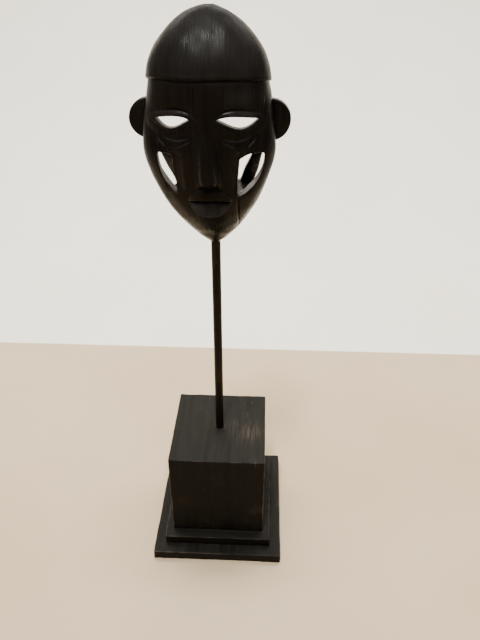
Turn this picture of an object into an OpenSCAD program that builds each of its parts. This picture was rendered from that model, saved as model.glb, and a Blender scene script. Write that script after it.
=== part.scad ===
// Carved wooden mask on a steel rod, standing on a stepped wooden pedestal.
// The front of the object faces -Y and +Z is up. The origin is the middle of the underside, on the rod's axis.
// All sizes are in millimetres.

/* [Pedestal] */
// Width of the pedestal block
block_w = 100; // [85:1:115]
// Depth of the pedestal block, front to back
block_d = 107; // [90:1:120]
// Height of the pedestal block
block_h = 107; // [90:1:125]
// Thickness of each of the two boards
board_t = 11.5; // [9:0.5:15]
// How far the step board stands out beyond the block's sides
step_margin = 8; // [5:0.5:12]
// How far the base board stands out beyond the step board's sides
base_margin = 12; // [8:0.5:16]
// Rounding of the pedestal's upright corners
corner_r = 1.2; // [0.6:0.1:2]

/* [Screws] */
// Length of each of the four wood screws under the pedestal
screw_len = 50; // [40:5:60]
// Diameter of each screw
screw_d = 4; // [3.5:0.5:5]

/* [Rod] */
// Diameter of the steel rod
rod_d = 8.5; // [7:0.1:10]
// Length of rod that shows between the block and the chin
rod_shown = 225; // [180:1:260]
// Depth of the blind socket in the block
socket_depth = 62; // [50:1:75]
// Depth of the blind bore in the chin
chin_bore_depth = 32; // [25:1:36]
// Radial clearance of the rod in the block and in the chin
rod_clearance = 0.08; // [0.05:0.01:0.1]

/* [Mask] */
// Height from the chin to the crown
mask_h = 187.5; // [175:0.5:200]
// Half width of the mask at the cheeks
cheek_w = 50; // [47:0.5:53]
// Half width of the mask at the edge of the cap
cap_w = 45.6; // [43:0.2:48]
// How far the middle of the face lies in front of the rod, without the nose
face_forward = 62.5; // [58:0.5:66]
// How far the cheeks' widest outline lies in front of the rod
cheek_forward = 38; // [35:0.5:41]
// How far the cap's widest outline lies in front of the rod
cap_forward = 30; // [28:0.5:32]
// How far the middle of the chin lies in front of the rod
chin_forward = 4; // [0:0.5:8]
// How far the back edge of the upper mask lies in front of the rod
rear_forward = 24; // [21:0.5:26]
// How far the back edge of the jaw lies behind the rod
jaw_back = 8; // [7:0.5:10]
// How far the edge of the cap stands proud of the forehead
cap_step = 1.5; // [1:0.1:2]
// How far the nose stands out
nose_out = 10; // [8:0.5:12]
// Half width of the face between the two cheek windows
column_w = 24; // [23:0.5:26]
// Thickness of the wood around the hollow
wall = 8; // [7:0.5:10]

/* [Ears] */
// Diameter of each round ear
ear_d = 30; // [26:0.5:34]
// Thickness of each ear
ear_t = 8; // [6:0.5:10]
// Distance from the middle of the mask to the outer edge of each ear
ear_reach = 60.8; // [56:0.2:64]

/* [Hidden] */
sides = [-1, 1];
// Pedestal: the boards stand out a little further in front and behind than at the sides.
step_w = block_w + 2 * step_margin;
step_d = block_d + 2 * step_margin + 5;
base_w = step_w + 2 * base_margin;
base_d = step_d + 2 * base_margin;
block_z = 2 * board_t;
block_top = block_z + block_h;
bore_r = rod_d / 2 + rod_clearance;
rod_bevel = 0.6;
// Screws: flat heads sunk into the underside of the base board
screw_x = block_w * 0.34;
screw_y = block_d * 0.34;
screw_r = screw_d / 2;
screw_head_r = screw_d;
screw_head_h = 2.6;
screw_sink = 0.8;
screw_gap = 0.25;
screw_tip_h = 5;
driver_r = 1.4;
driver_depth = 1.5;
// Heights on the mask, measured from the chin
chin_z = block_top + rod_shown;
cheek_z = 93.5;
eye_z = 116;
ledge_z = 140;
ear_z = 111.5;
lip_z = 56;
lip_out = 7;
nose_foot_z = 66;
window_low = 60;
window_high = 92;
gap_low = 57;
gap_high = 89;
// The hollow, open at the back
hollow_low = 46;
hollow_high = 171;
hollow_share = 0.84;
// The blunt ends: wood beside the bore under the chin, and half the width of the crown's tip
chin_wall = 1.2;
crown_half = 1.5;
strip_inner = 0.8;
rim_outer = 0.78;
rear_low = 48;
rear_high = 92;
// Depth at which the jaw strips end, and the thickness, front to back, of the upright bars behind them
strip_back_y = -30;
bar_t = 8;
eye_inner = 9;
eye_outer = 37;
eye_open = 4;
through = 60;
black_wood = [0.09, 0.075, 0.065];
mask_wood = [0.13, 0.10, 0.085];
black_paint = [0.05, 0.05, 0.05];
zinc = [0.7, 0.7, 0.68];

// ---- Carving, as functions of the height h above the chin ----
function smooth(t) = let (c = min(1, max(0, t))) c * c * (3 - 2 * c);
function bump(d, r) = abs(d) >= r ? 0 : pow(1 - pow(d / r, 2), 2);
function arch(t, p, q) = pow(max(0, 1 - pow(min(1, max(0, t)), p)), q);
function signed_pow(v, p) = sign(v) * pow(abs(v), p);

// Half width of the mask: a dome over a cap with a small ledge, then a long curve down to the chin.
function half_width(h) =
    h >= ledge_z ? max(crown_half, cap_w * arch((h - ledge_z) / (mask_h - ledge_z), 1.75, 0.6))
    : h >= cheek_z ? cheek_w - (cheek_w - cap_w + cap_step) * smooth((h - cheek_z) / (ledge_z - cheek_z))
    : max(bore_r + chin_wall, cheek_w * arch((cheek_z - h) / cheek_z, 1.37, 0.65));
// Depths below are measured from the rod, and are negative in front of it.
// The widest outline: at the rod under the chin, furthest forward at the cheeks.
function outline_y(h) =
    -cheek_forward + (cheek_forward - cap_forward) * smooth((h - 85) / 65)
    + (cheek_forward - chin_forward) * pow(1 - smooth((h + 5) / 100), 1.3);
// The plain face, without its relief.
function front_y(h) =
    h >= ledge_z
        ? -cap_forward - (face_forward - cap_forward) * arch((h - ledge_z) / (mask_h - ledge_z), 1.55, 0.75)
    : cap_step - face_forward + (face_forward - 2 * chin_forward) * pow(max(0, 1 - h / 110), 2.4);
// The back edge: flush with the ears above, and behind the rod at the chin.
function rear_y(h) =
    jaw_back - (jaw_back + rear_forward) * smooth((h - rear_low) / (rear_high - rear_low))
    - 0.2 * jaw_back * pow(max(0, 1 - h / 14), 2);

// Relief in front of the plain egg: nose and lips stand out, and the eye sockets lie back.
function nose_half(h) = 5 + 4 * smooth((eye_z - h) / 45);
function nose(x, h) =
    nose_out * smooth((eye_z + 8 - h) / 54) * smooth((h - nose_foot_z + 2) / 9) * bump(x, 1.45 * nose_half(h));
function lips(x, h) = lip_out * bump(x, 21) * (bump(h - lip_z + 7, 8) + bump(h - lip_z - 5, 6));
function sockets(x, h) = 2.5 * bump(abs(x) - 24, 19) * bump(h - eye_z, 15);
function relief(x, h) = nose(x, h) + lips(x, h) - sockets(x, h);

// One level outline: a rounded front, and a back that draws in to a narrower collar.
front_steps = 28;
back_steps = 5;
collar_length = 34;
function front_point(i, h, w, d, carve) =
    let (a = 180 * i / front_steps, x = w * signed_pow(cos(a), 0.88), y = outline_y(h) - d * pow(sin(a), 0.88))
    [x, y - carve * relief(x, h), h];
function back_point(i, h, w, b) =
    let (y = b * i / back_steps)
    [w * (1 - (1 - rim_outer) * smooth(y / collar_length)), outline_y(h) + y, h];
function level(h, w, d, b, carve) = concat(
    [for (i = [back_steps:-1:1]) back_point(i, h, w, b)],
    [for (i = [0:front_steps]) front_point(i, h, w, d, carve)],
    [for (i = [1:back_steps]) let (p = back_point(i, h, w, b)) [-p[0], p[1], p[2]]]
);

// The egg's levels crowd towards both ends, where it closes.
egg_levels = 38;
end_trim = 3;
chin_trim = 11;
thinnest = 0.6;
function egg_angle(k) = chin_trim + (180 - chin_trim - end_trim) * k / egg_levels;
function egg_height(k) = mask_h * (cos(chin_trim) - cos(egg_angle(k))) / (cos(chin_trim) + cos(end_trim));
function face_depth(h) = max(thinnest, outline_y(h) - front_y(h));
function egg_level(h) =
    level(h, half_width(h), face_depth(h), max(thinnest, rear_y(h) - outline_y(h)), smooth((face_depth(h) - 4) / 14));

// The hollow follows the egg inside it, and runs out through the back.
hollow_levels = 16;
function hollow_height(k) = hollow_low + (hollow_high - hollow_low) * k / hollow_levels;
function hollow_round(h) =
    let (t = abs(2 * (h - hollow_low) / (hollow_high - hollow_low) - 1)) 0.25 + 0.75 * arch(t, 3, 0.5);
function hollow_level(h) = level(
    h, hollow_share * half_width(h) * hollow_round(h), (face_depth(h) - wall) * hollow_round(h),
    rear_y(h) - outline_y(h) + wall, 0
);

// Closed solid through a stack of outlines that all have the same number of points.
module loft(levels) {
    n = len(levels[0]);
    top = (len(levels) - 1) * n;
    walls = [for (k = [0:len(levels) - 2], i = [0:n - 1]) let (a = k * n + i, b = k * n + (i + 1) % n)
        each [[a, b, b + n], [a, b + n, a + n]]];
    ends = [for (i = [1:n - 2]) each [[0, i + 1, i], [top, top + i, top + i + 1]]];
    polyhedron(points = [for (l = levels) each l], faces = concat(walls, ends));
}

// Flat outline in the mask's front view, cut from the front to depth y1.
module cut_from_front(y1) {
    translate([0, y1, 0]) rotate([90, 0, 0]) linear_extrude(2 * through) children();
}

// Long eye slit, flat on top and bowed below, that runs through to the hollow.
module eye_slit(side) {
    eye_steps = 12;
    slit = eye_outer - eye_inner;
    upper = [for (i = [0:eye_steps]) let (t = i / eye_steps)
        [side * (eye_inner + slit * t), eye_z - 1 + 3 * t + 2.6 * pow(sin(180 * t), 0.8)]];
    lower = [for (i = [eye_steps - 1:-1:1]) let (t = i / eye_steps)
        [side * (eye_inner + slit * t), eye_z - 1 + 3 * t - 2 * eye_open * sin(180 * t) / 1.5]];
    cut_from_front(outline_y(eye_z)) polygon(concat(upper, lower));
}

// Cheek window beside the nose: its outer edge curves in to a point at the bottom, where the jaw strip ends.
function strip_x(h) =
    let (foot = column_w - 2, top = strip_inner * half_width(window_high))
    foot + (top - foot) * arch((window_high - h) / (window_high - window_low), 2.2, 0.7);
module cheek_window(side) {
    window_steps = 10;
    strip = [for (i = [0:window_steps]) let (h = window_low + (window_high - 2 - window_low) * i / window_steps)
        [side * strip_x(h), h]];
    cut_from_front(strip_back(window_low)) polygon(concat(
        strip, [[side * (strip_x(window_high) - 4), window_high], [side * column_w, window_high - 4]]
    ));
}

// Gap in the side wall, between the jaw strip in front and the upright bar behind.
function strip_back(h) = strip_back_y - 6 * smooth((h - window_low) / 30);
function bar_front(h) = min(rear_y(h) - bar_t, -6);
module side_gap(side) {
    gap_steps = 6;
    heights = [for (i = [0:gap_steps]) gap_low + (gap_high - gap_low) * i / gap_steps];
    strip = [for (h = heights) [side * strip_back(h), h]];
    bar = [for (i = [gap_steps:-1:0]) [side * bar_front(heights[i]), heights[i]]];
    rotate([90, 0, 90 * side]) translate([0, 0, column_w - 4]) linear_extrude(through) polygon(concat(strip, bar));
}

module ear(side) {
    translate([side * (ear_reach - ear_d / 2), outline_y(ear_z) + ear_t / 2, ear_z])
        rotate([90, 0, 0]) cylinder(h = ear_t, d = ear_d, $fn = 48);
}

// The carving without its bore, brought to its exact height.
module carving() {
    translate([0, 0, chin_z]) resize([0, 0, mask_h]) difference() {
        union() {
            loft([for (k = [0:egg_levels]) egg_level(egg_height(k))]);
            for (side = sides) ear(side);
        }
        loft([for (k = [0:hollow_levels]) hollow_level(hollow_height(k))]);
        for (side = sides) {
            eye_slit(side);
            cheek_window(side);
            side_gap(side);
        }
    }
}

module mask() {
    color(mask_wood) difference() {
        carving();
        translate([0, 0, chin_z - wall]) cylinder(h = chin_bore_depth + wall, r = bore_r, $fn = 48);
    }
}

// ---- Rod ----
module support_rod() {
    foot = block_top - socket_depth;
    head = chin_z + chin_bore_depth;
    color(black_paint) translate([0, 0, foot]) {
        cylinder(h = rod_bevel, r1 = rod_d / 2 - rod_bevel, r2 = rod_d / 2, $fn = 48);
        translate([0, 0, rod_bevel]) cylinder(h = head - foot - 2 * rod_bevel, d = rod_d, $fn = 48);
        translate([0, 0, head - foot - rod_bevel])
            cylinder(h = rod_bevel, r1 = rod_d / 2, r2 = rod_d / 2 - rod_bevel, $fn = 48);
    }
}

// ---- Pedestal ----
// A board or block whose four upright corners are rounded.
module board(w, d, h) {
    linear_extrude(h) union() {
        square([w - 2 * corner_r, d], center = true);
        square([w, d - 2 * corner_r], center = true);
        for (x = sides, y = sides)
            translate([x * (w / 2 - corner_r), y * (d / 2 - corner_r)]) circle(r = corner_r, $fn = 24);
    }
}

module at_screws() {
    for (x = sides, y = sides) translate([x * screw_x, y * screw_y, 0]) children();
}

// Clearance hole with a countersink for the head, through both boards.
module screw_hole() {
    translate([0, 0, -1]) cylinder(h = screw_sink + 1, r = screw_head_r + screw_gap, $fn = 32);
    translate([0, 0, screw_sink])
        cylinder(h = screw_head_h, r1 = screw_head_r + screw_gap, r2 = screw_r + screw_gap, $fn = 32);
    cylinder(h = block_z + 1, r = screw_r + screw_gap, $fn = 32);
}

module base_board() {
    color(black_wood) difference() {
        board(base_w, base_d, board_t);
        at_screws() screw_hole();
    }
}

module step_board() {
    color(black_wood) difference() {
        translate([0, 0, board_t]) board(step_w, step_d, board_t);
        at_screws() screw_hole();
    }
}

module pedestal_block() {
    color(black_wood) difference() {
        translate([0, 0, block_z]) board(block_w, block_d, block_h);
        translate([0, 0, block_top - socket_depth]) cylinder(h = socket_depth + 1, r = bore_r, $fn = 48);
        at_screws() translate([0, 0, block_z - 1]) {
            cylinder(h = screw_sink + screw_len - screw_tip_h - block_z + 1, r = screw_r, $fn = 32);
            translate([0, 0, screw_sink + screw_len - screw_tip_h - block_z + 1])
                cylinder(h = screw_tip_h, r1 = screw_r, r2 = screw_gap, $fn = 32);
        }
    }
}

module base_screw(x, y) {
    color(zinc) translate([x * screw_x, y * screw_y, screw_sink]) difference() {
        union() {
            cylinder(h = screw_head_h, r1 = screw_head_r, r2 = screw_r, $fn = 32);
            cylinder(h = screw_len - screw_tip_h, r = screw_r, $fn = 32);
            translate([0, 0, screw_len - screw_tip_h]) cylinder(h = screw_tip_h, r1 = screw_r, r2 = screw_gap, $fn = 32);
        }
        translate([0, 0, -1]) for (a = [0, 90])
            rotate(a) translate([-driver_r, -driver_r / 4, 0]) cube([2 * driver_r, driver_r / 2, driver_depth + 1]);
    }
}

base_board();
step_board();
pedestal_block();
base_screw(-1, -1);  // base_screw_1
base_screw(1, -1);  // base_screw_2
base_screw(-1, 1);  // base_screw_3
base_screw(1, 1);  // base_screw_4
support_rod();
mask();
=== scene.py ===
"""Carved wooden mask on a steel rod, standing on a stepped wooden pedestal painted black.

The carving is modelled as a field of signed distances, in millimetres from the chin, and turned
into one mesh. Everything else is placed from the frame. The front faces -Y and +Z is up."""

import math

import bmesh
import bpy
import numpy as np
import openvdb
from mathutils import Matrix, Vector


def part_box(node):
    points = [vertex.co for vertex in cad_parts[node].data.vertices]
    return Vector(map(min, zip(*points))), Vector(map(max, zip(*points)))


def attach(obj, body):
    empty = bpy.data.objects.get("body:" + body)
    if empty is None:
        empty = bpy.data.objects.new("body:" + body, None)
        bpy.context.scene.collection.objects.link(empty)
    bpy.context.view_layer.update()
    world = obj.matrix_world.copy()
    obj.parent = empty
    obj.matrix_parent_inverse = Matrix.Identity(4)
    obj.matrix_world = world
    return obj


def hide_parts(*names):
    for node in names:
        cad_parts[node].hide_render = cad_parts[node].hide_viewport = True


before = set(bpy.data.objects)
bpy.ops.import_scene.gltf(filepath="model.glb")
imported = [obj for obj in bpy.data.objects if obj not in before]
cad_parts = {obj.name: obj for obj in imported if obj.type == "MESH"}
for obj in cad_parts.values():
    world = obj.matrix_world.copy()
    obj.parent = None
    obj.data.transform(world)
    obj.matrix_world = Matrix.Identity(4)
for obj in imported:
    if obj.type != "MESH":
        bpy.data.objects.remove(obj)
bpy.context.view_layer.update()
MM = 0.001


# ---- Camera ----
CAMERA_PLACE = (0.0416, -0.4793, 0.5745)
PITCH, YAW, ROLL = 0.5670, -0.0411, 0.0029
LENS_MM, SENSOR_MM = 32.9, 36


def make_camera():
    camera = bpy.data.objects.new("camera", bpy.data.cameras.new("camera"))
    bpy.context.collection.objects.link(camera)
    camera.data.lens = LENS_MM
    camera.data.sensor_width = SENSOR_MM
    camera.data.clip_start = 0.01
    aim = Matrix.Rotation(-YAW, 4, "Z") @ Matrix.Rotation(math.pi / 2 - PITCH, 4, "X")
    camera.matrix_world = Matrix.Translation(CAMERA_PLACE) @ aim @ Matrix.Rotation(ROLL, 4, "Z")
    bpy.context.scene.camera = camera


# ---- Shaping functions ----
def smooth(t):
    """Rises from 0 to 1 as t does, level at both ends."""
    c = np.clip(t, 0, 1)
    return c * c * (3 - 2 * c)


def arch(t, p, q):
    """Falls from 1 to 0 as t goes from 0 to 1, along a superellipse."""
    return np.maximum(0, 1 - np.clip(t, 0, 1) ** p) ** q


def blend_min(a, b, k):
    t = np.clip(0.5 + 0.5 * (b - a) / k, 0, 1)
    return b + (a - b) * t - k * t * (1 - t)


def blend_max(a, b, k):
    return -blend_min(-a, -b, k)


def as_distance(f, step):
    """A field that is zero on the surface, divided by its slope, is close to a distance there."""
    gx, gy, gz = np.gradient(f, step)
    return f / np.maximum(np.sqrt(gx * gx + gy * gy + gz * gz), 1e-3)


# ---- The carving's main shape, by height h above the chin, in millimetres ----
MASK_H = 187.5
CHEEK_H, LEDGE_H, EYE_H, EAR_H = 93.5, 140.0, 113.0, 111.5
CHEEK_W, CAP_W, CHIN_W = 50.0, 45.6, 5.5
CHIN_Y, CHEEK_Y, CROWN_Y = -4.0, -38.0, -30.0
FRONT_Y, REAR_Y, CHIN_REAR_Y = -62.5, -24.0, 8.0
SECTION = 2.27
RIM_SHARE = 0.78
WALL = 8.0
THINNEST = 0.4
LID_INNER, SLIT_OUTER = 10.0, 37.2
EAR_X, EAR_Y, EAR_RADIUS, EAR_HALF = 45.8, -29.5, 15.0, 4.2
HOLLOW_LOW, HOLLOW_HIGH, HOLLOW_SHARE = 46, 171, 0.86
BORE_RADIUS, BORE_DEPTH = 4.33, 32
GRID_LOW, GRID_HIGH = (-64.0, -79.0, -3.0), (64.0, 13.0, 190.5)
RIPPLE_WAVES = 14


def crown_share(h):
    return (h - LEDGE_H) / (MASK_H - LEDGE_H)


def half_width(h):
    dome = CAP_W * arch(crown_share(h), 1.75, 0.6)
    face = CHEEK_W - (CHEEK_W - CAP_W) * smooth((h - CHEEK_H) / (LEDGE_H - CHEEK_H))
    jaw = np.maximum(CHIN_W, CHEEK_W * arch((CHEEK_H - h) / CHEEK_H, 1.37, 0.65))
    return np.where(h >= LEDGE_H, dome, np.where(h >= CHEEK_H, face, jaw))


def outline_y(h):
    """Depth of the widest outline: at the rod under the chin, furthest forward at the cheeks."""
    upper = CHEEK_Y + (CROWN_Y - CHEEK_Y) * smooth((h - 85) / 65)
    return upper + (CHIN_Y - CHEEK_Y) * (1 - smooth((h + 5) / 100)) ** 1.3


def front_y(h):
    """Profile of the plain face, without its relief."""
    dome = CROWN_Y + (FRONT_Y - CROWN_Y) * arch(crown_share(h), 1.55, 0.75)
    face = FRONT_Y + 54 * np.clip(1 - h / 110, 0, 1) ** 2.4
    return np.where(h >= LEDGE_H, dome, face)


def rear_y(h):
    """Back edge of the shell: flush with the ears above, and behind the rod at the chin."""
    jaw = CHIN_REAR_Y + (REAR_Y - CHIN_REAR_Y) * smooth((h - 48) / 44)
    return jaw - 9 * np.clip(1 - h / 14, 0, 1) ** 2


# ---- Relief of the face: how far it stands out in front of the plain egg ----
def nose(x, h):
    half = 2.6 + 4.4 * smooth((112 - h) / 40)
    height = 1.2 + 8.0 * smooth((124 - h) / 54)
    foot = smooth((h - 64.5) / 9)
    top = 1 - smooth((h - 112) / 20)
    return height * foot * top * smooth((half + 4.0 - np.abs(x)) / 7.5)


def mouth_line(a):
    return 55.0 - 0.004 * a * a


def lower_lip(a, h):
    """0 on the mouth line and 1 on the lip's lower edge."""
    height = 14.6 * arch(a / 16.0, 2.2, 0.62)
    return (mouth_line(a) - h) / np.maximum(height, 0.5)


def lips(x, h):
    a = np.abs(x)
    mouth = mouth_line(a)
    upper_edge = 58 + 8.4 * arch(a / 16.5, 3, 1) - 2.4 * np.exp(-((x / 3.6) ** 2))
    up = (h - mouth) / np.maximum(upper_edge - mouth, 0.5)
    down = lower_lip(a, h)
    upper = (1.2 + 4.0 * (1 - np.clip(up, 0, 1))) * smooth((1 - up) / 0.14) * smooth(up / 0.2)
    lower = (0.2 + 12.0 * np.clip(down, 0, 1) ** 0.8) * smooth((1 - down) / 0.22)
    return np.where(h >= mouth, upper, lower) * arch(a / 17.0, 3, 0.7)


def slit_edges(a, inner):
    """Upper and lower edge of an eye slit, each bowed away from the slit's middle."""
    c = np.clip((a - inner) / (SLIT_OUTER - inner), 0, 1)
    upper = EYE_H + 4.2 + 2.3 * np.sin(np.pi * c**0.75)
    lower = EYE_H + 4.4 - 6.2 * np.sin(np.pi * c**1.25)
    return upper, lower


def crease(distance, size):
    return np.exp(-((distance / size) ** 2))


def eye_region(a, h):
    """Soft socket, rounded lids with a crease round them, and two carved folds below, for a = |x|."""
    socket = 2.4 * smooth((131 - h) / 16) * smooth((h - 88) / 22)
    socket = socket * smooth((a - 4) / 14) * smooth((48 - a) / 13)
    almond = 1 - ((a - 24) / 20) ** 2 - ((h - EYE_H - 1.2) / 9.5) ** 2
    lids = 2.6 * np.maximum(almond, 0) ** 0.8
    upper, lower = slit_edges(a, LID_INNER)
    fade = smooth((a - 9) / 5) * smooth((42 - a) / 6)
    creases = (0.8 * crease(h - upper - 4.4, 0.9) + 0.8 * crease(h - lower + 3.4, 0.8)) * fade
    fold_fade = smooth((a - 10) / 4) * smooth((38 - a) / 4)
    under = 102.9 + 4.4 * ((a - 21.5) / 13) ** 2 - h
    fold = 0.8 * smooth(under / 1.1) * np.exp(-np.maximum(under, 0) / 4)
    bend = a - 26.7
    below = 95.0 + np.sqrt(np.where(bend < 0, 0.26, 1.0) * bend**2 + 1.2) - h
    pouch = 1.2 * smooth(below / 1.2) * np.exp(-np.maximum(below, 0) / 8)
    return lids - socket - creases + (fold + pouch) * fold_fade


def painted_highlight(x, y, h):
    """Painted highlight: where paler colour stands in for light catching the lower lip, the upper lids,
    and patches of forehead and cap.
    """
    a = np.abs(x)
    down = lower_lip(a, h)
    lip = smooth(down / 0.2) * smooth((1 - down) / 0.25) * smooth((16 - a) / 4)
    above_slit = h - slit_edges(a, LID_INNER)[0]
    lid = smooth(above_slit / 1.2) * smooth((4.6 - above_slit) / 2)
    lid = lid * smooth((a - 12) / 6) * smooth((38 - a) / 6) * np.where(x > 0, 1.0, 0.5)
    forehead = 0.7 * np.exp(-(((x - 25) / 12) ** 2) - ((h - 132) / 6) ** 2)
    cap = 0.55 * np.exp(-(((x - 26) / 13) ** 2) - ((h - 156) / 13) ** 2)
    return np.where(y < -35, np.clip(lip + lid + forehead + cap, 0, 1), 0)


def column_flanks(a, h):
    """The face turns back towards each cheek window."""
    across = smooth((a - 16.5) / 8) * smooth((34 - a) / 6)
    return 4.5 * across * smooth((h - 60) / 8) * smooth((99 - h) / 8)


def relief(x, h):
    drift = -1.2 * smooth((h - 80) / 30) + 0.9 * smooth((90 - h) / 25)
    centred = nose(x - drift, h) + lips(x - drift, h)
    return centred + eye_region(np.abs(x - 0.4 * drift), h) - column_flanks(np.abs(x), h)


# ---- Openings cut through the carving ----
def eye_slit(x, h):
    a = np.abs(x)
    inner = np.where(x > 0, 6.6, 11.4)
    upper, lower = slit_edges(a, inner)
    return np.maximum(np.maximum(h - upper, lower - h), np.maximum(inner - a, a - SLIT_OUTER))


def cheek_window(x, h):
    """Open beside the nose, and drawn to a point below where the jaw strip curves in.

    Below that point the field on the +X side stays only just above zero, so the blend in
    carving_field leaves a shallow groove there, down to the jaw's edge."""
    a = np.abs(x)
    column = np.where(x > 0, 21.6, 24.9) + 1.8 * smooth((h - 62) / 28)
    strip = 22 + np.where(x > 0, 19.6, 15.2) * arch((92 - h) / 34, 2.2, 0.7)
    top = 93 - 0.55 * np.maximum(32 - a, 0)
    return blend_max(blend_max(column - a, a - strip, 1.5), h - top, 2.0)


def behind_strip(y, h):
    """The side wall behind each jaw strip, which is cut away."""
    strip_back = -30 - 6 * smooth((h - 60) / 30)
    return blend_max(blend_max(h - 90.5, 53 - h, 4), strip_back - y, 3)


def rear_bar(a, y, h):
    """Upright bar of the back edge on each side, from the jaw up to the cheekbone."""
    bar_x = 36.3 - 0.28 * np.maximum(85 - h, 0) + 5 * smooth((h - 85) / 10)
    half = 3.9 + 1.8 * smooth((86 - h) / 22)
    bar_y = 4.5 - 29 * smooth((h - 48) / 46)
    across = blend_max(np.abs(a - bar_x) - half, np.abs(y - bar_y) - 4.2, 2.0)
    return blend_max(across, np.abs(h - 70) - 28, 2.0)


def ripple(x, y, h, seed, size):
    """Gentle unevenness left by the carver's blade, between about -1 and 1."""
    rng = np.random.default_rng(seed)
    total = 0
    for _ in range(RIPPLE_WAVES):
        k = rng.normal(size=3) / size
        total = total + np.cos(k[0] * x + k[1] * y + k[2] * 0.6 * h + rng.uniform(0, 2 * np.pi))
    return total / math.sqrt(RIPPLE_WAVES)


def egg(a, forward, w, d, step):
    """Distance to a shell whose front is a superellipse and whose sides draw in towards the back."""
    narrow = 1 - (1 - RIM_SHARE) * smooth(-forward / 34)
    front = ((a / w) ** SECTION + (np.maximum(forward, 0) / d) ** SECTION) ** (1 / SECTION)
    raw = np.where(forward > 0, front, a / (w * narrow)) - 1
    # Outside a tip the slope grows without limit, so a share of the level distance takes over there.
    return np.maximum(as_distance(raw, step), np.where(raw > 0, 0.4 * raw * np.minimum(w, d), -np.inf))


def carving_field(step):
    """Signed distance to the carving on a regular grid, and the grid's low corner."""
    axes = [np.arange(a, b, step, dtype=np.float32) for a, b in zip(GRID_LOW, GRID_HIGH)]
    x = axes[0][:, None, None]
    y = axes[1][None, :, None]
    h = axes[2][None, None, :]
    a = np.abs(x)
    flat_x, flat_h = x[:, 0, :], h[:, 0, :]
    w = np.maximum(half_width(h), THINNEST)
    yc = outline_y(h)
    d = np.maximum(yc - front_y(h), THINNEST)
    out = relief(flat_x, flat_h)[:, None, :] * smooth((d - 4) / 14)
    f = egg(a, yc - y - out, w, d, step)
    # The cap's edge is a small ledge that arches up a little over the forehead.
    ledge = LEDGE_H + 3.8 * smooth((yc - y) / 26) + 0.5 * np.sin(x / 9.0)
    under = ledge - h
    f = f + 1.8 * smooth(under / 0.9) * np.exp(-np.maximum(under, 0) / 7) - 0.2 * crease(under + 1.6, 1.4)
    rear = rear_y(h)
    slope = np.sqrt(1 + np.gradient(rear, step, axis=2) ** 2)
    f = blend_max(f, (y - rear) / slope, 3.0)
    f = blend_max(f, -h, 3.0)
    f = np.maximum(f, h - MASK_H + 0.4)
    # Ears: flat discs.
    from_ear = np.sqrt((a - EAR_X) ** 2 + (h - EAR_H) ** 2)
    disc = blend_max(from_ear - EAR_RADIUS, np.abs(y - EAR_Y) - EAR_HALF, 1.6)
    f = blend_min(f, disc, 1.4)
    f = f + 0.16 * ripple(x, y, h, 3, 7.0) + 0.10 * ripple(x, y, h, 5, 3.0)
    # The hollow, open at the back.
    share = np.abs((h - HOLLOW_LOW) / (HOLLOW_HIGH - HOLLOW_LOW) * 2 - 1)
    round_off = 0.25 + 0.75 * arch(share, 3, 0.5)
    inner_w = np.maximum(HOLLOW_SHARE * half_width(h) * round_off, THINNEST)
    inner_d = np.maximum((yc - front_y(h) - WALL) * round_off, THINNEST)
    hollow = egg(a, yc - y, inner_w, inner_d, step)
    ends = np.maximum(HOLLOW_LOW - h, h - HOLLOW_HIGH)
    hollow = np.maximum(hollow, ends) + 0.30 * ripple(x, y, h, 11, 5.0)
    f = blend_max(f, -hollow, 2.0)
    # Slits, cheek windows, and the side walls behind the jaw strips.
    slit = np.maximum(eye_slit(flat_x, flat_h)[:, None, :], y + 30)
    f = blend_max(f, -slit, 1.0)
    window = cheek_window(flat_x, flat_h)[:, None, :]
    f = blend_max(f, -np.maximum(window, y + 24), 1.6)
    f = blend_max(f, -np.maximum(behind_strip(y, h), 20 - a), 2.5)
    f = blend_min(f, rear_bar(a, y, h), 3.0)
    # Blind bore for the rod.
    bore = np.maximum(np.sqrt(x * x + y * y) - BORE_RADIUS, h - BORE_DEPTH)
    f = np.maximum(f, -bore)
    return f.astype(np.float32), np.array(GRID_LOW)


def box_blur(f, radius, passes=2):
    for _ in range(passes):
        for axis in range(3):
            total = f.copy()
            for shift in range(1, radius + 1):
                total += np.roll(f, shift, axis) + np.roll(f, -shift, axis)
            f = total / (2 * radius + 1)
    return f


def add_mesh(name, points, faces):
    mesh = bpy.data.meshes.new(name)
    mesh.from_pydata(points, [], faces)
    mesh.validate()
    mesh.update()
    mesh.shade_smooth()
    piece = bpy.data.objects.new(name, mesh)
    bpy.context.collection.objects.link(piece)
    return piece


def store(piece, name, values):
    attribute = piece.data.attributes.new(name, "FLOAT", "POINT")
    attribute.data.foreach_set("value", np.asarray(values, dtype=np.float32))


def make_mask(chin_z):
    step = 0.6
    f, low = carving_field(step)
    grid = openvdb.FloatGrid(4.0)
    grid.copyFromArray(f)
    points, quads = grid.convertToQuads(isovalue=0.0)
    # How proud or how deep each point lies against its surroundings.
    radius = max(1, round(2.1 / step))
    bulge = box_blur(np.clip(f, -4, 4), radius)
    index = np.clip(np.rint(points).astype(int), 0, np.array(f.shape) - 1)
    nearest = tuple(index.T)
    edge = bulge[nearest] - f[nearest]
    local = points * step + low
    places = local * MM + np.array([0, 0, chin_z])
    piece = add_mesh("carved_mask", places, quads[:, ::-1])
    store(piece, "edge", np.clip(edge / 0.9, -1, 1))
    store(piece, "painted_highlight", painted_highlight(*local.T))
    return piece


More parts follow.
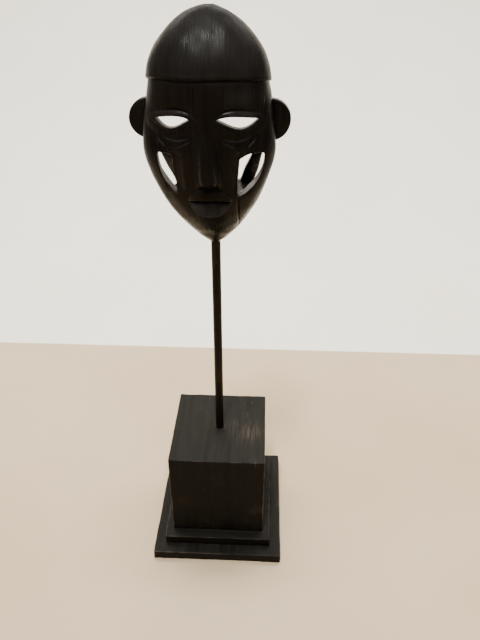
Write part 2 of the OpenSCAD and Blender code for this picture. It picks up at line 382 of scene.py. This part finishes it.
# ---- Materials ----
class Graph:
    """A material's node tree, with short calls for the nodes used here."""

    def __init__(self, name):
        self.material = bpy.data.materials.new(name)
        self.material.use_nodes = True
        self.tree = self.material.node_tree
        self.shader = self.tree.nodes["Principled BSDF"]
        self.place = self.node("ShaderNodeTexCoord").outputs["Object"]

    def node(self, kind, **settings):
        made = self.tree.nodes.new(kind)
        for key, value in settings.items():
            setattr(made, key, value)
        return made

    def feed(self, socket, value):
        if isinstance(value, bpy.types.NodeSocket):
            self.tree.links.new(value, socket)
        else:
            socket.default_value = value

    def math(self, operation, a, b):
        made = self.node("ShaderNodeMath", operation=operation)
        self.feed(made.inputs[0], a)
        self.feed(made.inputs[1], b)
        return made.outputs[0]

    def stretched(self, scale, shift):
        made = self.node("ShaderNodeMapping")
        self.feed(made.inputs["Vector"], self.place)
        made.inputs["Scale"].default_value = scale
        made.inputs["Location"].default_value = shift
        return made.outputs[0]

    def noise(self, scale, detail, roughness, shift=(0, 0, 0), twist=0.0):
        made = self.node("ShaderNodeTexNoise")
        self.feed(made.inputs["Vector"], self.stretched(scale, shift))
        made.inputs["Scale"].default_value = 1.0
        made.inputs["Detail"].default_value = detail
        made.inputs["Roughness"].default_value = roughness
        made.inputs["Distortion"].default_value = twist
        return made.outputs["Fac"]

    def span(self, value, low, high, to_low=0.0, to_high=1.0):
        made = self.node("ShaderNodeMapRange", interpolation_type="SMOOTHSTEP")
        self.feed(made.inputs["Value"], value)
        for key, number in zip(("From Min", "From Max", "To Min", "To Max"), (low, high, to_low, to_high)):
            made.inputs[key].default_value = number
        return made.outputs[0]

    def mix(self, share, a, b):
        made = self.node("ShaderNodeMix", data_type="RGBA")
        self.feed(made.inputs[0], share)
        self.feed(made.inputs[6], a)
        self.feed(made.inputs[7], b)
        return made.outputs[2]

    def attribute(self, name):
        return self.node("ShaderNodeAttribute", attribute_name=name).outputs["Fac"]

    def spot(self, place, radius):
        """One at a place on the surface, and fading to nothing at the radius."""
        away = self.node("ShaderNodeVectorMath", operation="DISTANCE")
        self.feed(away.inputs[0], self.place)
        self.feed(away.inputs[1], place)
        return self.span(away.outputs["Value"], 0.25 * radius, radius, 1.0, 0.0)

    def slope(self):
        """One where the surface faces straight up, minus one where it faces straight down."""
        split = self.node("ShaderNodeSeparateXYZ")
        self.feed(split.inputs[0], self.node("ShaderNodeNewGeometry").outputs["Normal"])
        return split.outputs["Z"]

    def facing_up(self):
        """How much the surface faces up: where dirt settles, and where a highlight is painted in."""
        return self.math("MAXIMUM", self.slope(), 0.0)

    def bump(self, height, depth, below=None):
        made = self.node("ShaderNodeBump")
        made.inputs["Distance"].default_value = depth
        self.feed(made.inputs["Height"], height)
        if below is not None:
            self.feed(made.inputs["Normal"], below)
        return made.outputs["Normal"]

    def finish(self, color, roughness, normal=None, metallic=0.0, specular=0.5):
        self.feed(self.shader.inputs["Base Color"], color)
        self.feed(self.shader.inputs["Roughness"], roughness)
        self.shader.inputs["Metallic"].default_value = metallic
        self.shader.inputs["Specular IOR Level"].default_value = specular
        if normal is not None:
            self.feed(self.shader.inputs["Normal"], normal)
        return self.material


def carved_wood():
    """Dark stained wood with an upright grain, fine drying cracks and the finish worn off the edges, with
    painted highlights on raised and upward faces and painted shade in hollows and on downward faces.
    """
    g = Graph("carved_dark_wood")
    grain = g.noise((900, 130, 34), 5, 0.6, twist=0.2)
    streaks = g.noise((260, 60, 9), 4, 0.55, shift=(3, 1, 2))
    clouds = g.noise((28, 28, 17), 3, 0.5, shift=(7, 2, 5))
    cracks = g.span(g.noise((560, 50, 24), 2, 0.5, shift=(1, 8, 3)), 0.69, 0.77)
    worn = g.span(g.attribute("edge"), 0.3, 0.9)
    # Painted shade: how concave each place is, used below to darken the hollows.
    hollow = g.span(g.attribute("edge"), -0.75, -0.2, 1.0, 0.0)
    base = g.mix(g.span(streaks, 0.3, 0.7), (0.0030, 0.0023, 0.0018, 1), (0.0066, 0.0050, 0.0040, 1))
    base = g.mix(g.span(clouds, 0.40, 0.75), base, (0.0105, 0.0072, 0.0052, 1))
    rubbed_edge = g.math("MULTIPLY", worn, g.span(clouds, 0.42, 0.72, 0.0, 0.4))
    base = g.mix(rubbed_edge, base, (0.018, 0.013, 0.009, 1))
    # Upward faces paler: partly dust, partly a painted highlight from the light above.
    base = g.mix(g.span(g.facing_up(), 0.05, 0.80), base, (0.0105, 0.0094, 0.0084, 1))
    # Painted shade: faces turned downward, such as under the chin, nose and lips, are darker.
    base = g.mix(g.span(g.slope(), -0.60, -0.10, 0.9, 0.0), base, (0.0018, 0.0015, 0.0013, 1))
    # Painted highlight: paler colour on the lower lip, upper lids and patches of forehead and cap, mostly
    # on the +X side.
    highlight_amount = g.math("MULTIPLY", g.attribute("painted_highlight"), g.span(streaks, 0.2, 0.7, 0.45, 0.9))
    base = g.mix(highlight_amount, base, (0.0185, 0.0168, 0.0150, 1))
    # Painted shade in the hollows and recesses.
    base = g.mix(g.math("MULTIPLY", hollow, 0.6), base, (0.0014, 0.0011, 0.0009, 1))
    base = g.mix(g.math("MULTIPLY", cracks, 0.8), base, (0.0008, 0.0007, 0.0006, 1))
    rough = g.math("ADD", g.span(grain, 0.3, 0.7, 0.24, 0.36), g.span(clouds, 0.3, 0.7, -0.05, 0.07))
    normal = g.bump(g.math("SUBTRACT", grain, g.math("MULTIPLY", cracks, 2.0)), 0.00014)
    normal = g.bump(streaks, 0.00026, normal)
    return g.finish(base, rough, normal, specular=0.055)


def painted_wood(name, along, shift, shade=1.0, spots=()):
    """Black paint rubbed thin over wood, with the grain along one axis showing through."""
    g = Graph(name)
    fine = tuple(26 if i in along else 620 for i in range(3))
    broad = tuple(7 if i in along else 170 for i in range(3))
    grain = g.noise(fine, 5, 0.6, shift=shift, twist=0.2)
    streaks = g.noise(broad, 4, 0.6, shift=shift)
    rubs = g.noise((34, 34, 34), 4, 0.6, shift=shift)
    specks = g.span(g.noise((520, 520, 520), 1, 0.4, shift=shift), 0.80, 0.83)
    worn = g.span(g.math("ADD", g.attribute("edge"), g.span(rubs, 0.3, 0.75, -0.45, 0.25)), 0.45, 0.85)
    low = [0.0036 * shade, 0.0031 * shade, 0.0023 * shade, 1]
    high = [0.0072 * shade, 0.0060 * shade, 0.0045 * shade, 1]
    base = g.mix(g.span(streaks, 0.3, 0.7), low, high)
    # Upward faces paler: partly dust, partly a painted highlight where the tops catch the light.
    dust_and_top_light = g.math("MULTIPLY", g.facing_up(), g.span(streaks, 0.3, 0.75, 0.45, 1.0))
    base = g.mix(dust_and_top_light, base, (0.0135, 0.0125, 0.0108, 1))
    base = g.mix(g.span(rubs, 0.55, 0.85), base, (0.0190, 0.0155, 0.0112, 1))
    base = g.mix(worn, base, (0.048, 0.040, 0.030, 1))
    for place, radius, strength in spots:
        patchy = g.math("MULTIPLY", g.span(grain, 0.40, 0.68), g.span(rubs, 0.36, 0.62, 0.15, 1.0))
        rubbed = g.math("MULTIPLY", g.spot(place, radius), g.math("MULTIPLY", patchy, strength))
        base = g.mix(rubbed, base, (0.060, 0.050, 0.036, 1))
    base = g.mix(specks, base, (0.16, 0.14, 0.11, 1))
    rough = g.span(streaks, 0.25, 0.75, 0.38, 0.58)
    normal = g.bump(grain, 0.00018)
    normal = g.bump(streaks, 0.00045, normal)
    return g.finish(base, rough, normal, specular=0.055)


def rod_paint():
    """Satin black paint, brushed on along the bar and thin in places."""
    g = Graph("satin_black_steel")
    brushed = g.noise((700, 700, 12), 4, 0.6)
    blotches = g.noise((60, 60, 22), 3, 0.55, shift=(4, 4, 1))
    base = g.mix(g.span(brushed, 0.3, 0.7), (0.0030, 0.0023, 0.0016, 1), (0.0078, 0.0056, 0.0036, 1))
    base = g.mix(g.span(blotches, 0.56, 0.72), base, (0.020, 0.012, 0.006, 1))
    rough = g.span(blotches, 0.3, 0.7, 0.30, 0.46)
    return g.finish(base, rough, g.bump(brushed, 0.00010), specular=0.08)


def screw_metal():
    g = Graph("zinc_plated_steel")
    stain = g.noise((300, 300, 300), 4, 0.6)
    base = g.mix(g.span(stain, 0.35, 0.7), (0.56, 0.55, 0.52, 1), (0.32, 0.30, 0.27, 1))
    return g.finish(base, g.span(stain, 0.3, 0.7, 0.28, 0.5), g.bump(stain, 0.00005), metallic=1.0)


def stage_paint():
    """Pale tan up to the back edge of the table, and pale wall paint beyond it."""
    g = Graph("pale_stage")
    drift = g.noise((3, 3, 3), 3, 0.5)
    table = g.mix(g.span(drift, 0.3, 0.7), (0.52, 0.40, 0.25, 1), (0.58, 0.45, 0.29, 1))
    wall = g.mix(g.span(drift, 0.3, 0.7), (0.90, 0.85, 0.75, 1), (0.93, 0.89, 0.79, 1))
    split = g.node("ShaderNodeSeparateXYZ")
    g.feed(split.inputs[0], g.place)
    beyond = g.span(split.outputs["Y"], TABLE_BACK, TABLE_BACK + 0.004)
    return g.finish(g.mix(beyond, table, wall), 0.6, specular=0.3)


def dress(piece, material, slot, body, *nodes):
    piece.data.materials.clear()
    piece.data.materials.append(material)
    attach(piece, body)
    if nodes:
        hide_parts(*nodes)


# ---- Pedestal ----
def spaced(half):
    """Places along one side of a box, close together near its ends."""
    near = np.array([0, 0.25, 0.5, 0.8, 1.2, 1.8, 2.6, 3.6, 5.0, 7.0]) * MM
    near = near[near < half * 0.9]
    inner = np.linspace(-(half - near[-1]), half - near[-1], max(2, int(2 * (half - near[-1]) / 0.004)))
    return np.unique(np.round(np.concatenate([-half + near[:-1], inner, half - near[:-1]]), 7))


def worn_block(name, low, high, radius, wobble, seed):
    """Closed block with rounded, slightly uneven edges. Its edge value fades over some millimetres."""
    low, high = np.array(low), np.array(high)
    centre, half = (low + high) / 2, (high - low) / 2
    sides = [spaced(v) for v in half]
    found, faces = {}, []

    def corner(p):
        return found.setdefault(tuple(np.round(p, 7)), len(found))

    for axis in range(3):
        u, v = [i for i in range(3) if i != axis]
        for sign in (-1, 1):
            ids = np.empty((len(sides[u]), len(sides[v])), dtype=int)
            for i, a in enumerate(sides[u]):
                for j, b in enumerate(sides[v]):
                    p = [0, 0, 0]
                    p[axis], p[u], p[v] = sign * half[axis], a, b
                    ids[i, j] = corner(p)
            for i in range(len(sides[u]) - 1):
                for j in range(len(sides[v]) - 1):
                    face = [ids[i, j], ids[i + 1, j], ids[i + 1, j + 1], ids[i, j + 1]]
                    faces.append(face if (sign > 0) == (axis != 1) else face[::-1])
    p = np.array(list(found))
    core = np.clip(p, -(half - radius), half - radius)
    out = p - core
    out /= np.maximum(np.linalg.norm(out, axis=1), 1e-9)[:, None]
    to_sides = np.sort(half - np.abs(p), axis=1)
    edge = np.exp(-to_sides[:, 1] / 0.0016)
    x, y, z = (p / MM).T
    uneven = ripple(x, y, z, seed, 2.5) + 0.8 * ripple(x, y, z, seed + 1, 9.0)
    nick = np.maximum(ripple(x, y, z, seed + 2, 1.6) - 1.5, 0)
    inward = wobble * edge * (0.5 + 0.5 * np.clip(uneven, -1, 1)) + 0.0006 * edge * np.clip(nick, 0, 1.5)
    piece = add_mesh(name, core + out * radius - out * inward[:, None] + centre, faces)
    store(piece, "edge", np.clip(edge, 0, 1))
    return piece


HOLE_WIDE, HOLE_THIN, SINK, HEAD = 0.00425, 0.00225, 0.0008, 0.0026
HOLE_RINGS = [(-0.002, HOLE_WIDE), (SINK, HOLE_WIDE), (SINK + HEAD, HOLE_THIN), (0.02, HOLE_THIN)]
HOLE_TURNS = 48


def hole_mesh(x, y):
    """Closed countersunk plug to cut a screw hole with."""
    work = bmesh.new()
    loops = []
    for z, r in HOLE_RINGS:
        turns = [2 * math.pi * i / HOLE_TURNS for i in range(HOLE_TURNS)]
        loops.append([work.verts.new((x + r * math.cos(t), y + r * math.sin(t), z)) for t in turns])
    for one, two in zip(loops, loops[1:]):
        for i in range(HOLE_TURNS):
            j = (i + 1) % HOLE_TURNS
            work.faces.new((one[i], one[j], two[j], two[i]))
    work.faces.new(loops[0][::-1])
    work.faces.new(loops[-1])
    mesh = bpy.data.meshes.new("screw_hole_tool")
    work.to_mesh(mesh)
    work.free()
    return mesh


def cut_screw_holes(board):
    """Opens the board where the screws lie."""
    for node in sorted(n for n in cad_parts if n.startswith("base_screw")):
        low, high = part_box(node)
        centre = (Vector(low) + Vector(high)) / 2
        tool = bpy.data.objects.new("screw_hole_tool", hole_mesh(centre.x, centre.y))
        bpy.context.collection.objects.link(tool)
        cut = board.modifiers.new("hole", "BOOLEAN")
        cut.operation, cut.object, cut.solver = "DIFFERENCE", tool, "EXACT"
        apply_modifiers(board)
        bpy.data.objects.remove(tool)


def apply_modifiers(piece):
    graph = bpy.context.evaluated_depsgraph_get()
    mesh = bpy.data.meshes.new_from_object(piece.evaluated_get(graph))
    piece.modifiers.clear()
    piece.data = mesh


def make_pedestal():
    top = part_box("pedestal_block")[1][2]
    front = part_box("pedestal_block")[0][1]
    # Rubbed places on the block: beside the rod, a scratch behind it, the rod's foot and a chipped edge.
    rubs = [
        ((0.029, -0.006, top), 0.030, 0.75),
        ((0.027, 0.020, top), 0.007, 0.9),
        ((0.0, 0.0, top), 0.008, 0.6),
        ((-0.015, 0.046, top), 0.002, 1.0),
        ((0.040, front, top), 0.010, 0.9),
    ]
    finishes = {
        "base_board": (painted_wood("base_board_paint", (1,), (1, 2, 3), 1.05), 0.0010, 21),
        "step_board": (painted_wood("step_board_paint", (0,), (4, 1, 6), 0.9), 0.0009, 31),
        "pedestal_block": (painted_wood("block_paint", (1, 2), (2, 7, 1), 1.0, rubs), 0.0012, 41),
    }
    for node, (material, radius, seed) in finishes.items():
        low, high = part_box(node)
        piece = worn_block(node + "_worn", low, high, radius, 0.0006, seed)
        if node == "base_board":
            cut_screw_holes(piece)
        dress(piece, material, "stand_wood", "stand", node)


def make_rod():
    low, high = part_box("support_rod")
    radius = (high[0] - low[0]) / 2
    bevel = 0.0006
    along = np.arange(low[2] + bevel, high[2] - bevel, 0.004)
    heights = np.concatenate([[low[2]], along, [high[2] - bevel, high[2]]])
    turns = 72
    points, faces = [], []
    for k, z in enumerate(heights):
        end = k in (0, len(heights) - 1)
        for i in range(turns):
            t = 2 * math.pi * i / turns
            dent = 0.00003 * math.sin(z * 190 + 2 * t) * math.sin(z * 61)
            r = radius - (bevel if end else abs(dent))
            points.append((r * math.cos(t), r * math.sin(t), z))
    for k in range(len(heights) - 1):
        for i in range(turns):
            j = (i + 1) % turns
            faces.append((k * turns + i, k * turns + j, (k + 1) * turns + j, (k + 1) * turns + i))
    faces.append(tuple(range(turns))[::-1])
    faces.append(tuple((len(heights) - 1) * turns + i for i in range(turns)))
    rod = add_mesh("rod_bar", points, faces)
    dress(rod, rod_paint(), "rod_steel", "rod", "support_rod")


# ---- Stage and light ----
TABLE_BACK = 0.33
SWEEP_START, SWEEP_RADIUS, SWEEP_STEPS = 0.6, 0.7, 24
FLOOR_FRONT, STAGE_HALF, WALL_TOP = -3, 4, 4.0


def make_stage():
    """Floor that curves up into a wall. Its ends can show behind the object in side views."""
    turns = [math.pi / 2 * i / SWEEP_STEPS for i in range(SWEEP_STEPS + 1)]
    curve = [(SWEEP_START + SWEEP_RADIUS * math.sin(t), SWEEP_RADIUS * (1 - math.cos(t))) for t in turns]
    profile = [(FLOOR_FRONT, 0), *curve, (SWEEP_START + SWEEP_RADIUS, WALL_TOP)]
    points = [(x, y, z) for y, z in profile for x in (-STAGE_HALF, STAGE_HALF)]
    faces = [(2 * i, 2 * i + 1, 2 * i + 3, 2 * i + 2) for i in range(len(profile) - 1)]
    backdrop = add_mesh("backdrop", points, faces)
    backdrop.data.materials.append(stage_paint())


def area_light(name, place, target, size, power, color):
    data = bpy.data.lights.new(name, "AREA")
    data.shape = "RECTANGLE"
    data.size, data.size_y = size
    data.energy = power
    data.color = color
    light = bpy.data.objects.new(name, data)
    light.location = place
    light.rotation_euler = (Vector(target) - Vector(place)).to_track_quat("-Z", "Y").to_euler()
    bpy.context.collection.objects.link(light)


def make_light():
    world = bpy.data.worlds.new("soft_room")
    world.use_nodes = True
    background = world.node_tree.nodes["Background"]
    background.inputs["Color"].default_value = (1.0, 0.98, 0.94, 1)
    background.inputs["Strength"].default_value = 0.33
    bpy.context.scene.world = world
    area_light("ceiling", (-0.18, -0.85, 2.3), (0, -0.05, 0.5), (0.12, 0.45), 56, (1.0, 0.98, 0.95))
    area_light("wall_wash", (0.0, 0.75, 2.0), (0, 0.95, 0.0), (3.2, 0.6), 80, (1.0, 0.98, 0.94))
    area_light("soft_fill", (-0.7, -1.2, 1.6), (0, 0, 0.2), (1.2, 1.2), 9, (1.0, 0.98, 0.95))


make_camera()
carving = make_mask(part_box("mask")[0][2])
dress(carving, carved_wood(), "mask_wood", "mask", "mask")
make_rod()
make_pedestal()
steel = screw_metal()
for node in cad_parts:
    if node.startswith("base_screw"):
        screw = bpy.data.objects[node]
        screw.data.materials.clear()
        screw.data.materials.append(steel)
make_stage()
make_light()
